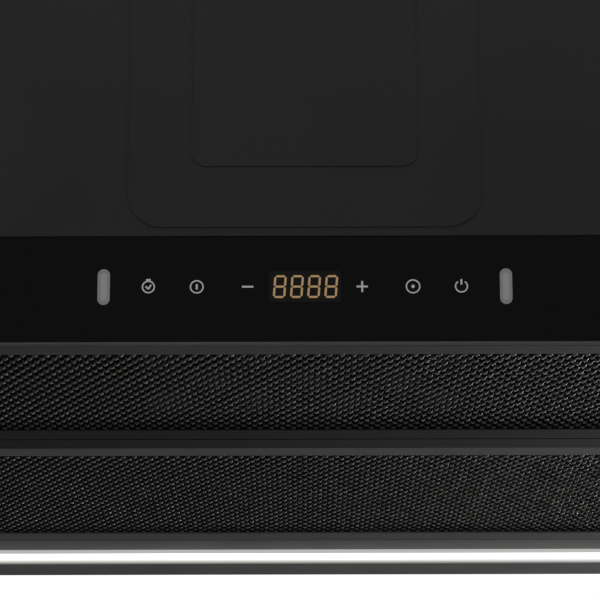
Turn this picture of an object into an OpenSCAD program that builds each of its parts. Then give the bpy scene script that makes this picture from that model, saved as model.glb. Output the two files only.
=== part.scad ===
// Wall-hung kitchen range hood with a touch strip, two mesh grease filters, a light bar
// and a double-inlet blower. X is the width, -Y the front, +Z up, in millimetres.
// The origin is the centre of the four wall bolts, on the wall plane.

/* [Canopy] */
// Width of the hood
hood_w = 900; // [880:5:1000]
// Depth from the wall to the front glass
hood_d = 530; // [520:1:540]
// Height from the underside to the top panel
hood_h = 280; // [276:1:320]
// Sheet thickness of the panels
sheet = 1.2; // [1:0.1:1.4]
// Height of the wall bolts' centre above the underside
bolt_rise = 150; // [140:1:170]

/* [Wall mounting] */
// Distance between wall bolts across the hood
wall_bolt_x = 600; // [400:10:640]
// Distance between wall bolts up the wall
wall_bolt_z = 150; // [120:5:160]
// Radius of the wall bolt holes
wall_hole_r = 4; // [3:0.25:5]

/* [Touch strip] */
// Height of the black control glass
glass_h = 44.2; // [42:0.2:48]
// Thickness of the control glass
glass_t = 4; // [3:0.5:4]
// Height of the symbols' centre line above the glass's lower edge
key_rise = 23.1; // [22:0.1:25]
// Spacing of the touch keys
key_pitch = 20; // [18:0.5:21]
// Distance of each gesture sensor from the middle
sensor_x = 81.5; // [80:0.5:84]

/* [Grease filters] */
// Width of both filters over their frames
filter_w = 856; // [840:2:858]
// Width of the filter frames' rails
rail_w = 18; // [16:0.5:18]
// Thickness of the filters
filter_t = 8; // [7.5:0.1:8.4]
// Front edge of the front filter, behind the front face
front_filter_start = 4.6; // [4.6:0.1:5]
// Rear edge of the front filter, behind the front face
front_filter_end = 175; // [173:0.5:176]
// Front edge of the rear filter, behind the front face
rear_filter_start = 195; // [194:0.5:197]
// Rear edge of the rear filter, behind the front face
rear_filter_end = 423; // [420:0.5:424]
// Distance of the filter latches from the middle
latch_x = 290; // [260:5:300]

/* [Light bar] */
// Length of the light bar
light_w = 800; // [760:5:820]
// Front edge of the light bar, behind the front face
light_start = 451.5; // [450:0.5:453]
// Rear edge of the light bar, behind the front face
light_end = 498; // [496:0.5:499]
// Width of the frosted diffuser
diffuser_w = 18; // [17:0.5:22]

/* [Blower] */
// Outer radius of the impeller
impeller_r = 75; // [70:1:76]
// Number of blades on the impeller
blade_count = 36; // [24:2:40]
// Width of the scroll
scroll_w = 156; // [152:2:164]
// Height of the blower shaft above the underside
shaft_rise = 128; // [126:1:132]
// Distance of the blower shaft from the wall
shaft_back = 232; // [228:1:236]

/* [Outlet collar] */
// Outer radius of the collar that the duct slides over
collar_r = 74.5; // [73:0.5:75]
// Height of the collar above the top panel
collar_h = 48; // [44:1:60]
// Distance of the collar's centre from the wall
collar_back = 165; // [160:1:170]

/* [Hidden] */
$fn = 48;
eps = 0.01;

// How far a cutting shape reaches past the face that it cuts
past = 5;

// Levels and faces of the canopy
under_z = -bolt_rise;
top_z = under_z + hood_h;
roof_z = top_z - sheet;
front_y = -hood_d;
half_w = hood_w / 2;
inner_x = half_w - sheet;
lip_h = 0.6;
glass_lo = under_z + lip_h;
glass_hi = glass_lo + glass_h;
glass_back = front_y + glass_t;
panel_gap = 0.6;
panel_lo = glass_hi + panel_gap;
panel_set = 0.8;
panel_y = front_y + panel_set;

// Pressed stiffening beads in the top and back panels
bead_r = 7;
bead_rise = 1;
top_bead_w = 700;
top_beads_back = [290, 370, 450];
back_bead_w = 480;
back_beads_z = [-60, 0, 60];

// Joints of the canopy's sheets
flange_w = 14;
flange_inset = 30;
flange_screws_back = [60, 260, 460];
plate_margin = [30, 25];
plate_t = 3;
screw_r = 1.75;
head_r = 3.6;
head_t = 1.8;
sheet_screw_l = 5;

// The rail behind the control glass
rail_t = 1.2;
rail_foot = 12;
rail_lo = under_z + 10;
rail_hi = glass_hi + 8;
window_x = 96;
window_inset = 2.4;

// Touch keys, gesture sensors and display
key_z = glass_lo + key_rise;
key_steps = [-3.17, -2.19, -1.16, 1.16, 2.19, 3.17];
key_coil_r = 4.4;
key_wire_r = 0.4;
pill_r = 2.5;
pill_rise = 5;
display_w = 30;
display_h = 14;
display_d = 8;
pin_pitch = 6;
pin_r = 0.5;

// Carrier and boards behind the control glass
carrier_x = 128;
carrier_lo = under_z + 12;
carrier_hi = glass_hi - 1;
carrier_d = 18;
carrier_wall = 2;
wire_hole_r = 4;
wire_hole_x = 30;
wire_hole_rise = 10;
board_t = 1.6;
board_y = glass_back + 11;
sensor_board = [12, 1.2, 16];
sensor_plug = [4, 9, 6];

// Light bar
light_mid = front_y + (light_start + light_end) / 2;
light_h = 14;
light_set = 0.4;
light_end_t = 1.5;
diffuser_t = 1.8;
diffuser_wall = 1.5;
diffuser_h = 7.4;
channel_web = 2;
led_board_w = 12;
led_board_t = 1.2;
led_pitch = 25;
led_side = 3;
driver_x = [-330, -220];
driver_w = 36;
driver_h = 22;
driver_wire_r = 3;

// Filters and their pivots
filter_head = 18;
seam = 0.6;
swing_gap = 1.6;
bar_edge_h = 12;
pivot_in = 6;
pivot_rise = 4;
pivot_pin_r = 1.5;
pivot_pin_in = 10;
pivot_clearance = 0.05;
frame_side = filter_w / 2 + 1;
lug_x = frame_side + 1.2;
lug_t = 5.8;
lug_r = 5;
lug_h = 8.6;
mesh_t = 0.8;
outer_mesh_rise = 0.8;
inner_mesh_rise = filter_t - 2.4;
mesh_grip = 3;

// Latches
case_w = 60;
case_d = 26;
case_rise = 0.3;
case_wall = 2.5;
slide_w = 36;
slide_d = 12;
slide_y = 3;
slide_lo = 3.3;
slide_t = 3.1;
slide_gap = 0.4;
finger_inset = 3;
finger_lo = 1.2;
finger_rim = 3;
grip_rib = 0.9;
tongue_w = 12;
tongue_t = 3;
tongue_root = 4;
latch_gap = 0.2;
latch_coil_r = 1.8;
latch_wire_r = 0.3;
latch_coil_z = 4.2;

// Blower
shaft_y = -shaft_back;
shaft_z = under_z + shaft_rise;
shaft_r = 4;
shaft_clearance = 0.05;
shaft_x0 = -30;
blade_in_r = impeller_r - 14;
blade_turn = 22;
blade_power = 1.6;
blade_thick = 0.7;
blade_steps = 5;
impeller_w = scroll_w - 26;
impeller_ring_t = 2;
hub_r = 12;
hub_flange_r = 20;
hub_x = [-14, 9];
nut_r = 7.5;
nut_h = 6.5;
scroll_min_r = impeller_r + 10;
scroll_growth = 24;
tongue_angle = 60;
scroll_step = 7.5;
throat_angle = 73;
outlet_rise = roof_z - shaft_z;
throat_in = scroll_min_r * cos(throat_angle);
throat_out = scroll_min_r + scroll_growth;
inlet_r = impeller_r - 11;
inlet_lip = 8;
inlet_t = 1.4;
flange_t = 2;
flange_side = 16;
flange_front = 40;
flange_back = 36;

// Motor
motor_r = 41;
motor_step = 5;
motor_cap = 12;
motor_boss = 3;
motor_x0 = 14;
motor_x1 = 70;
shaft_stop = 8;
band_t = 3;
band_inset = 20;
arm_w = 10;
arm_t = 1.5;
arm_angles = [30, 150, 270];
arm_foot = 18;

// Run capacitor
cap_x = 160;
cap_z = top_z - 60;
cap_r = 17;
cap_back = 40;
cap_front = 110;
tab = [0.8, 8, 6];
tab_x = 6;
clip_y = [-82, -66];
clip_t = 1.2;

// Electronics box
box_h = 56;
box_wall = 2;
box_lo = [200, -230, roof_z - box_h];
box_hi = [350, -100, roof_z];
lid_rim = 3;
lid_rib = [1.8, 6];
box_wire_r = 6;
board_z = box_hi[2] - 12;
relay_x = [215, 240, 265];
relay = [18, 15, 16];
choke = [40, 35, 30];
post_x = [208, 336];
post_r = 2;
block_lo = [270, -134, box_hi[2] - 18];
block_size = [60, 20, 16];
terminal_count = 5;
terminal_pitch = 11.5;
terminal_r = 2.5;

// Cable gland
gland_x = 310;
gland_back = 160;
gland_hole_r = 8;
gland_bore_r = 4;
gland_hex_r = 13;
gland_nut_r = 12;
gland_nut_t = 4;
gland_hex_t = 5;
gland_cone = 12;

// Outlet collar and its flaps
collar_y = -collar_back;
collar_wall = 2;
collar_flange = 14;
collar_flange_t = 3;
collar_screw_r = collar_r + 7;
collar_screw_l = 8;
flap_rise = 13;
flap_z = top_z + flap_rise;
flap_r = collar_r - collar_wall - 1.6;
flap_t = 1.5;
flap_ledge = 4;
flap_pin_r = 2;
flap_pin_clearance = 0.05;
knuckle_r = 3.4;
knuckles = [[-50, -30.5], [10, 29.5]];

// A box between two opposite corners
module span(low, high) translate(low) cube(high - low);

// The same piece on the left and on the right
module both_sides() {
  children();
  mirror([1, 0, 0]) children();
}

// A round bar along X or Y
module bar_x(x0, x1, r) translate([x0, 0, 0]) rotate([0, 90, 0]) cylinder(r = r, h = x1 - x0);
module bar_y(y0, y1, r) translate([0, y0, 0]) rotate([-90, 0, 0]) cylinder(r = r, h = y1 - y0);

// Extrudes a (y, z) outline along X
module lay_along_x(x0, x1)
  translate([x0, 0, 0]) rotate([90, 0, 90]) linear_extrude(x1 - x0) children();

// A coil spring along +Y: its mean radius, wire radius, turns and overall length
coil_steps = 14;
wire_sides = 6;
module coil(mean_r, wire_r, turns, length) {
  rings = turns * coil_steps;
  points = [for (i = [0 : rings], j = [0 : wire_sides - 1])
    let (turn = i * 360 / coil_steps, side = j * 360 / wire_sides, r = mean_r + wire_r * cos(side))
      [r * cos(turn), wire_r + (length - 2 * wire_r) * i / rings + wire_r * sin(side), r * sin(turn)]];
  sides = [for (i = [0 : rings - 1], j = [0 : wire_sides - 1])
    let (a = i * wire_sides, k = (j + 1) % wire_sides)
      [a + j, a + k, a + wire_sides + k, a + wire_sides + j]];
  first = [for (j = [wire_sides - 1 : -1 : 0]) j];
  last = [for (j = [0 : wire_sides - 1]) rings * wire_sides + j];
  polyhedron(points, concat(sides, [first, last]), convexity = 8);
}

// A screw with a round head, head down at z = 0 and pointing up
module screw(length) {
  translate([0, 0, -head_t]) cylinder(r = head_r, h = head_t);
  translate([0, 0, -eps]) cylinder(r = screw_r, h = length);
}
module screw_hole() translate([0, 0, -past]) cylinder(r = screw_r, h = 2 * past);

// Places of the wall bolts
module at_wall_bolts()
  for (sx = [-1, 1], sz = [-1, 1])
    translate([sx * wall_bolt_x / 2, 0, sz * wall_bolt_z / 2]) children();

// A bar with round ends, along X and centred at the origin, from z0 to z1
module bead(length, r, z0, z1)
  translate([0, 0, z0]) linear_extrude(z1 - z0) {
    square([length, 2 * r], center = true);
    for (side = [-1, 1]) translate([side * length / 2, 0]) circle(r = r);
  }

module at_top_beads() for (back = top_beads_back) translate([0, -back, top_z]) children();
module at_back_beads() for (z = back_beads_z) translate([0, 0, z]) rotate([90, 0, 0]) children();

module back_panel() color("dimgray") difference() {
  union() {
    span([-inner_x, -sheet, under_z], [inner_x, 0, top_z]);
    at_back_beads() bead(back_bead_w, bead_r + sheet, sheet - eps, sheet + bead_rise);
  }
  at_back_beads() bead(back_bead_w, bead_r, -past, bead_rise);
  at_wall_bolts() bar_y(-past, past, wall_hole_r);
}

module wall_plates() color("silver") both_sides() difference() {
  span([wall_bolt_x / 2 - plate_margin[0], -sheet - plate_t, -wall_bolt_z / 2 - plate_margin[1]],
       [wall_bolt_x / 2 + plate_margin[0], -sheet, wall_bolt_z / 2 + plate_margin[1]]);
  at_wall_bolts() bar_y(-2 * past, past, wall_hole_r);
}

module top_panel() color("dimgray") difference() {
  union() {
    span([-inner_x, panel_y, roof_z], [inner_x, -sheet, top_z]);
    at_top_beads() bead(top_bead_w, bead_r, -eps, bead_rise);
  }
  at_top_beads() bead(top_bead_w, bead_r - sheet, -past, bead_rise - sheet);
  translate([0, collar_y, roof_z - past]) cylinder(r = collar_r - collar_wall, h = 2 * past);
  at_gland() translate([0, 0, -past]) cylinder(r = gland_hole_r, h = 2 * past);
  at_flange_screws() screw_hole();
  at_blower_screws() screw_hole();
  at_collar_screws() screw_hole();
}

module side_panel() difference() {
  union() {
    span([inner_x, panel_y, under_z], [half_w, 0, top_z]);
    span([inner_x - flange_w, front_y + flange_inset, roof_z - sheet], [inner_x, -flange_inset, roof_z]);
  }
  at_flange_screws() screw_hole();
}
module side_panel_right() color("dimgray") side_panel();
module side_panel_left() color("dimgray") mirror([1, 0, 0]) side_panel();

// Screws that hold the top panel to the side panels' flanges, and the collar to the top panel
module at_flange_screws()
  for (sx = [-1, 1], back = flange_screws_back)
    translate([sx * (inner_x - flange_w / 2), -back, top_z]) children();
module at_collar_screws()
  for (a = [45 : 90 : 315])
    translate([collar_screw_r * cos(a), collar_y + collar_screw_r * sin(a), top_z]) children();
module panel_screws() color("silver") {
  at_flange_screws() mirror([0, 0, 1]) screw(sheet_screw_l);
  at_collar_screws() translate([0, 0, collar_flange_t]) mirror([0, 0, 1]) screw(collar_screw_l);
}

module front_panel() color("dimgray") {
  span([-inner_x, panel_y, panel_lo], [inner_x, panel_y + sheet, roof_z]);
  span([-inner_x, panel_y, panel_lo], [inner_x, glass_back, panel_lo + sheet]);
}

module glass_rail() color("gray") difference() {
  union() {
    span([-inner_x, glass_back, rail_lo], [inner_x, glass_back + rail_t, rail_hi]);
    span([-inner_x, glass_back, rail_lo], [inner_x, glass_back + rail_foot, rail_lo + rail_t]);
  }
  span([-window_x, glass_back - past, carrier_lo + window_inset],
       [window_x, glass_back + rail_t + eps, carrier_hi - window_inset]);
}

module control_glass() color("black") difference() {
  span([-inner_x, front_y, glass_lo], [inner_x, glass_back, glass_hi]);
  both_sides() sensor_pill(front_y - past, glass_back + past);
}

// A window's upright pill outline between two depths
module sensor_pill(y0, y1) {
  for (rise = [-pill_rise, pill_rise]) translate([sensor_x, 0, key_z + rise]) bar_y(y0, y1, pill_r);
  span([sensor_x - pill_r, y0, key_z - pill_rise], [sensor_x + pill_r, y1, key_z + pill_rise]);
}

module sensor_windows() color("darkgray") both_sides() sensor_pill(front_y, glass_back + 1);

module trim_lip() color("black")
  span([-inner_x, front_y, under_z], [inner_x, glass_back, glass_lo]);

module sheet_hole(start, end, half)
  span([-half, front_y + start, under_z - past], [half, front_y + end, under_z + 4 * past]);

module intake_frame() color("dimgray") difference() {
  union() {
    span([-inner_x, glass_back, under_z], [inner_x, -sheet, under_z + sheet]);
    bar_edge(front_filter_end + swing_gap);
    bar_edge(rear_filter_start - seam - sheet);
    bar_edge(rear_filter_end + swing_gap);
  }
  sheet_hole(glass_t - 1, front_filter_end + swing_gap, frame_side);
  sheet_hole(rear_filter_start - seam, rear_filter_end + swing_gap, frame_side);
  sheet_hole(light_start, light_end, light_w / 2);
}

// An upturned edge of the underside sheet
module bar_edge(start)
  span([-inner_x, front_y + start, under_z], [inner_x, front_y + start + sheet, under_z + bar_edge_h]);

module control_carrier() color("black") difference() {
  span([-carrier_x, glass_back + rail_t, carrier_lo], [carrier_x, glass_back + carrier_d, carrier_hi]);
  span([-carrier_x + carrier_wall, glass_back, carrier_lo + carrier_wall],
       [carrier_x - carrier_wall, glass_back + carrier_d - carrier_wall, carrier_hi - carrier_wall]);
  both_sides() translate([wire_hole_x, glass_back + carrier_d, carrier_lo + wire_hole_rise])
    bar_y(-carrier_wall - 1, 1, wire_hole_r);
}

module control_board() color("green")
  span([-carrier_x + carrier_wall, board_y, carrier_lo + carrier_wall],
       [carrier_x - carrier_wall, board_y + board_t, carrier_hi - carrier_wall]);

// Places of the six touch keys
module at_keys() for (step = key_steps) translate([step * key_pitch, 0, key_z]) children();

module touch_springs() color("gold")
  at_keys() translate([0, glass_back, 0]) coil(key_coil_r, key_wire_r, 4, board_y - glass_back);

module display_module() color("dimgray") {
  span([-display_w / 2, glass_back + 0.1, key_z - display_h / 2],
       [display_w / 2, glass_back + display_d, key_z + display_h / 2]);
  for (step = [-2 : 2]) translate([step * pin_pitch, 0, key_z])
    bar_y(glass_back + display_d - 1, board_y, pin_r);
}

module sensor_boards() color("green") both_sides() translate([sensor_x, glass_back + 1, key_z]) {
  span([-sensor_board[0] / 2, 0, -sensor_board[2] / 2],
       [sensor_board[0] / 2, sensor_board[1], sensor_board[2] / 2]);
  span([-sensor_plug[0] / 2, 1, -sensor_plug[2] / 2],
       [sensor_plug[0] / 2, 1 + sensor_plug[1], sensor_plug[2] / 2]);
}

module light_channel() color("lightgray") difference() {
  span([-light_w / 2, front_y + light_start, under_z + light_set],
       [light_w / 2, front_y + light_end, under_z + light_h]);
  span([-light_w / 2 + light_end_t, light_mid - diffuser_w / 2, under_z - 1],
       [light_w / 2 - light_end_t, light_mid + diffuser_w / 2, under_z + light_h - channel_web]);
}

module light_board() color("white") {
  board_hi = under_z + light_h - channel_web;
  end_x = light_w / 2 - 4;
  span([-end_x, light_mid - led_board_w / 2, board_hi - led_board_t],
       [end_x, light_mid + led_board_w / 2, board_hi]);
  led_count = floor(end_x / led_pitch);
  for (i = [-led_count : led_count])
    translate([i * led_pitch, light_mid, board_hi - 2]) cube([led_side, led_side, 1.7], center = true);
}

module light_diffuser() color("white") difference() {
  low = under_z + 0.6;
  span([-light_w / 2 + light_end_t, light_mid - diffuser_w / 2, low],
       [light_w / 2 - light_end_t, light_mid + diffuser_w / 2, low + diffuser_h]);
  span([-light_w / 2 - past, light_mid - diffuser_w / 2 + diffuser_wall, low + diffuser_t],
       [light_w / 2 + past, light_mid + diffuser_w / 2 - diffuser_wall, low + diffuser_h + past]);
}

module light_driver() color("white") difference() {
  span([driver_x[0], light_mid - driver_w / 2, under_z + light_h],
       [driver_x[1], light_mid + driver_w / 2, under_z + light_h + driver_h]);
  translate([0, light_mid, under_z + light_h + driver_h / 2])
    bar_x(driver_x[0] - past, driver_x[0] + 2 * past, driver_wire_r);
}

// Fixed lugs that hold the filters' pivot pins
module filter_pivots() color("silver")
  for (end = [front_filter_end, rear_filter_end]) both_sides()
    translate([0, front_y + end - pivot_in, under_z]) difference() {
      span([lug_x, -lug_r, sheet], [lug_x + lug_t, lug_r, lug_h]);
      translate([0, 0, pivot_rise])
        bar_x(lug_x - past, lug_x + lug_t + past, pivot_pin_r + pivot_clearance);
    }

// One filter's frame: a flat ring that grips the two mesh sheets
module filter_frame(start, end) difference() {
  span([-filter_w / 2, front_y + start, under_z], [filter_w / 2, front_y + end, under_z + filter_t]);
  span([-filter_w / 2 + rail_w, front_y + mesh_start(start), under_z - past],
       [filter_w / 2 - rail_w, front_y + end - rail_w, under_z + filter_t + past]);
  mesh_sheet(start, end, outer_mesh_rise);
  mesh_sheet(start, end, inner_mesh_rise);
  both_sides() translate([0, front_y + end - pivot_in, under_z + pivot_rise])
    bar_x(filter_w / 2 - pivot_pin_in, filter_w / 2 + past, pivot_pin_r);
  at_latches(start) tongue(latch_gap, filter_head + past);
}

// The mesh starts behind the front rail, which the touch strip partly hides on the front filter
function mesh_start(start) = start < rear_filter_start ? filter_head : start + rail_w - 2.4;

module mesh_sheet(start, end, rise)
  span([-filter_w / 2 + rail_w - mesh_grip, front_y + mesh_start(start) - mesh_grip, under_z + rise],
       [filter_w / 2 - rail_w + mesh_grip, front_y + end - rail_w + mesh_grip, under_z + rise + mesh_t]);

// A mesh sheet with the latches' places cut out
module filter_mesh(start, end, rise) color("gray") difference() {
  mesh_sheet(start, end, rise);
  at_latches(start) span([-case_w / 2, -mesh_grip - 1, -1], [case_w / 2, case_d, filter_t + 1]);
}

// Origin of a latch: on the rail's inner edge, at the underside
module at_latches(start)
  for (side = [-1, 1]) at_latch(start, side) children();
module at_latch(start, side)
  translate([side * latch_x, front_y + mesh_start(start), under_z]) children();

// The latch's nose, which runs forward through the frame's rail
module tongue(gap, reach)
  span([-tongue_w / 2 - gap, -reach, slide_lo - gap],
       [tongue_w / 2 + gap, tongue_root + gap, slide_lo + tongue_t + gap]);

module latch_cases(start) color("black") at_latches(start) difference() {
  pocket_top = filter_t - 1.3;
  slot_half = slide_w / 2 - finger_inset + slide_gap;
  span([-case_w / 2, 0, case_rise], [case_w / 2, case_d, filter_t - 0.2]);
  span([-slide_w / 2 - slide_gap, case_wall, slide_lo - latch_gap],
       [slide_w / 2 + slide_gap, case_d - case_wall, pocket_top]);
  span([-slot_half, case_wall, -1], [slot_half, case_d - case_wall, pocket_top]);
  tongue(latch_gap, past);
}

// A latch's slide: a finger plate with a ribbed recess, and its nose
module latch_slide(start, side) color("black") at_latch(start, side) {
  finger_half = slide_w / 2 - finger_inset;
  recess_half = finger_half - finger_rim;
  difference() {
    union() {
      span([-slide_w / 2, slide_y, slide_lo], [slide_w / 2, slide_y + slide_d, slide_lo + slide_t]);
      span([-finger_half, slide_y, finger_lo], [finger_half, slide_y + slide_d, slide_lo + slide_t]);
    }
    span([-recess_half, slide_y + 2, 0], [recess_half, slide_y + slide_d - 2, finger_lo + 1.8]);
  }
  for (step = [0 : 2])
    translate([0, slide_y + 3.5 + step * 2.1, 0])
      span([-recess_half - eps, 0, finger_lo + 0.5], [recess_half + eps, grip_rib, finger_lo + 1.9]);
  span([-tongue_w / 2, latch_nose(start), slide_lo], [tongue_w / 2, tongue_root, slide_lo + tongue_t]);
}
function latch_nose(start) = start - mesh_start(start) + 0.2;

// Each latch has one coil behind its slide
module latch_springs(start) color("silver") at_latches(start)
  translate([0, slide_y + slide_d, latch_coil_z])
    coil(latch_coil_r, latch_wire_r, 4, case_d - case_wall - slide_y - slide_d);

module filter_pins(end) color("silver") both_sides()
  translate([0, front_y + end - pivot_in, under_z + pivot_rise])
    bar_x(filter_w / 2 - pivot_pin_in, lug_x + lug_t, pivot_pin_r);

module front_filter_frame() color("dimgray") filter_frame(front_filter_start, front_filter_end);
module front_filter_outer_mesh() filter_mesh(front_filter_start, front_filter_end, outer_mesh_rise);
module front_filter_inner_mesh() filter_mesh(front_filter_start, front_filter_end, inner_mesh_rise);
module front_filter_pins() filter_pins(front_filter_end);
module front_latch_cases() latch_cases(front_filter_start);
module front_latch_left() latch_slide(front_filter_start, -1);
module front_latch_right() latch_slide(front_filter_start, 1);
module front_latch_springs() latch_springs(front_filter_start);
module rear_filter_frame() color("dimgray") filter_frame(rear_filter_start, rear_filter_end);
module rear_filter_outer_mesh() filter_mesh(rear_filter_start, rear_filter_end, outer_mesh_rise);
module rear_filter_inner_mesh() filter_mesh(rear_filter_start, rear_filter_end, inner_mesh_rise);
module rear_filter_pins() filter_pins(rear_filter_end);
module rear_latch_cases() latch_cases(rear_filter_start);
module rear_latch_left() latch_slide(rear_filter_start, -1);
module rear_latch_right() latch_slide(rear_filter_start, 1);
module rear_latch_springs() latch_springs(rear_filter_start);

// The scroll in the (y, z) plane round the shaft: it starts at the tongue, grows as it turns
// under the impeller to the wall side, and leaves straight up through the throat
function scroll_at(a) = scroll_min_r + scroll_growth * (a - tongue_angle) / (360 - tongue_angle);
function spiral(grow) = concat([[0, 0]], [for (a = [tongue_angle : scroll_step : 360])
  (scroll_at(a) + grow) * [cos(a), sin(a)]]);

// Everything inside the scroll's walls, grown outwards, from x0 to x1 and up to a height
module scroll_space(grow, x0, x1, height) {
  lay_along_x(x0, x1) polygon(spiral(grow));
  span([x0, throat_in - grow, -eps], [x1, throat_out + grow, height]);
}

module scroll_half() translate([0, shaft_y, shaft_z]) difference() {
  scroll_space(sheet, 0, scroll_w / 2, outlet_rise);
  scroll_space(0, -1, scroll_w / 2 - sheet, outlet_rise + past);
  bar_x(0, scroll_w, inlet_r + 2);
}
module scroll_right() color("lightgray") scroll_half();
module scroll_left() color("lightgray") mirror([1, 0, 0]) scroll_half();

module inlet_rings() color("lightgray") both_sides()
  translate([scroll_w / 2 - inlet_lip, shaft_y, shaft_z]) rotate([0, 90, 0]) rotate_extrude($fn = 72)
    polygon([[inlet_r - 1.5, 0], [inlet_r, 0], [inlet_r + inlet_t, inlet_lip],
             [inlet_r + 10, inlet_lip], [inlet_r + 10, inlet_lip + inlet_t],
             [inlet_r, inlet_lip + inlet_t]]);

// Plate under the top panel that joins the scroll's throat to the round outlet
module blower_flange() color("silver") difference() {
  translate([0, shaft_y, 0]) difference() {
    span([-scroll_w / 2 - flange_side, throat_in - flange_front, roof_z - flange_t],
         [scroll_w / 2 + flange_side, throat_out + flange_back, roof_z]);
    span([-scroll_w / 2, throat_in - sheet, roof_z - 2 * past],
         [scroll_w / 2, throat_out + sheet, roof_z + past]);
  }
  at_blower_screws() screw_hole();
  at_collar_screws() screw_hole();
}

module at_blower_screws()
  for (sx = [-1, 1], y = [10, 124])
    translate([sx * (scroll_w / 2 + 9), shaft_y + y, roof_z - flange_t]) children();
module blower_screws() color("silver") at_blower_screws() screw(sheet + flange_t);

module motor() color("silver") translate([0, shaft_y, shaft_z]) difference() {
  union() {
    bar_x(motor_x0, motor_x1, motor_r - motor_step);
    bar_x(motor_x0 + motor_cap, motor_x1 - motor_cap, motor_r);
    bar_x(motor_x0 - motor_boss, motor_x1 + motor_boss, hub_r);
  }
  bar_x(0, motor_x1 - shaft_stop + motor_boss, shaft_r + shaft_clearance);
}

module motor_shaft() color("silver") translate([0, shaft_y, shaft_z])
  bar_x(shaft_x0, motor_x1 - shaft_stop, shaft_r);

module motor_bracket() color("gray") translate([0, shaft_y, shaft_z]) {
  difference() {
    bar_x(motor_x0 + band_inset, motor_x1 - band_inset, motor_r + band_t);
    bar_x(0, motor_x1 + past, motor_r);
  }
  arm_r = motor_r + band_t;
  foot_x = scroll_w / 2 + 4;
  for (a = arm_angles) rotate([a, 0, 0]) {
    span([motor_x1 - band_inset - past, -arm_w / 2, arm_r - arm_t], [foot_x, arm_w / 2, arm_r]);
    span([scroll_w / 2 + inlet_t, -arm_w / 2, arm_r - arm_t], [foot_x, arm_w / 2, inlet_r + arm_foot]);
  }
}

// One forward-curved blade, as a thin crescent in the (y, z) plane
function blade_angle(r) = blade_turn * pow((r - blade_in_r) / (impeller_r - blade_in_r), blade_power);
function blade_edge(side) = [for (i = [0 : blade_steps])
  let (r = blade_in_r + (impeller_r - 1 - blade_in_r) * i / blade_steps, a = blade_angle(r) + side)
    r * [cos(a), sin(a)]];
function reversed(list) = [for (i = [len(list) - 1 : -1 : 0]) list[i]];

module impeller() color("silver") translate([0, shaft_y, shaft_z]) {
  lay_along_x(-impeller_w / 2, impeller_w / 2) for (i = [0 : blade_count - 1])
    rotate(i * 360 / blade_count) polygon(concat(blade_edge(0), reversed(blade_edge(blade_thick))));
  for (x = [-impeller_w / 2, impeller_w / 2 - impeller_ring_t]) difference() {
    bar_x(x, x + impeller_ring_t, impeller_r);
    bar_x(x - 1, x + impeller_ring_t + 1, blade_in_r + 2);
  }
  difference() {
    bar_x(-impeller_ring_t / 2, impeller_ring_t / 2, impeller_r);
    bar_x(-past, past, hub_r);
  }
}

module impeller_hub() color("silver") translate([0, shaft_y, shaft_z]) difference() {
  union() {
    bar_x(hub_x[0], hub_x[1], hub_r);
    bar_x(-impeller_ring_t / 2 - 3, -impeller_ring_t / 2, hub_flange_r);
  }
  bar_x(hub_x[0] - past, hub_x[1] + past, shaft_r);
}

module shaft_nut() color("silver") translate([hub_x[0] - nut_h, shaft_y, shaft_z]) difference() {
  rotate([0, 90, 0]) cylinder(r = nut_r, h = nut_h, $fn = 6);
  bar_x(-past, nut_h + past, shaft_r);
}

module run_capacitor() color("white") translate([cap_x, 0, cap_z]) {
  bar_y(-cap_front, -cap_back, cap_r);
  for (x = [-tab_x, tab_x]) translate([x, 0, 0])
    span([-tab[0] / 2, -cap_front - tab[1], -tab[2] / 2], [tab[0] / 2, -cap_front + eps, tab[2] / 2]);
}
module capacitor_clip() color("silver") {
  translate([cap_x, 0, cap_z]) difference() {
    bar_y(clip_y[0], clip_y[1], cap_r + clip_t);
    bar_y(clip_y[0] - past, clip_y[1] + past, cap_r);
  }
  span([cap_x - 8, clip_y[0], cap_z + cap_r + clip_t / 2], [cap_x + 8, clip_y[1], roof_z]);
}

module electronics_box() color("gray") difference() {
  span(box_lo, box_hi);
  span(box_lo + [box_wall, box_wall, -1], box_hi - [box_wall, box_wall, box_wall]);
  at_gland() translate([0, 0, -2 * past]) cylinder(r = gland_hole_r, h = 4 * past);
  translate([box_lo[0], -150, box_lo[2] + 30]) bar_x(-1, past, box_wire_r);
}
module electronics_lid() color("gray") {
  lip = box_wall + 0.2;
  span(box_lo - [lid_rim, lid_rim, box_wall], [box_hi[0] + lid_rim, box_hi[1] + lid_rim, box_lo[2]]);
  span(box_lo + [lip, lip, -eps], [box_hi[0] - lip, box_lo[1] + lip + lid_rib[0], box_lo[2] + lid_rib[1]]);
}
module power_board() color("green") {
  span([box_lo[0] + 6, box_lo[1] + 8, board_z], [box_hi[0] - 6, box_hi[1] - 40, board_z + board_t]);
  for (x = relay_x) translate([x, box_lo[1] + 25, board_z - relay[2]]) cube(relay + [0, 0, eps]);
  translate([box_lo[0] + 95, box_lo[1] + 15, board_z - choke[2]]) cube(choke + [0, 0, eps]);
  for (x = post_x) translate([x, -150, board_z]) cylinder(r = post_r, h = 10 + eps);
}
module terminal_block() color("ivory") difference() {
  translate(block_lo) cube(block_size);
  for (i = [0 : terminal_count - 1])
    translate([block_lo[0] + 7 + i * terminal_pitch, block_lo[1] + block_size[1] / 2, block_lo[2] - 2])
      cylinder(r = terminal_r, h = 8);
}

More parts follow.
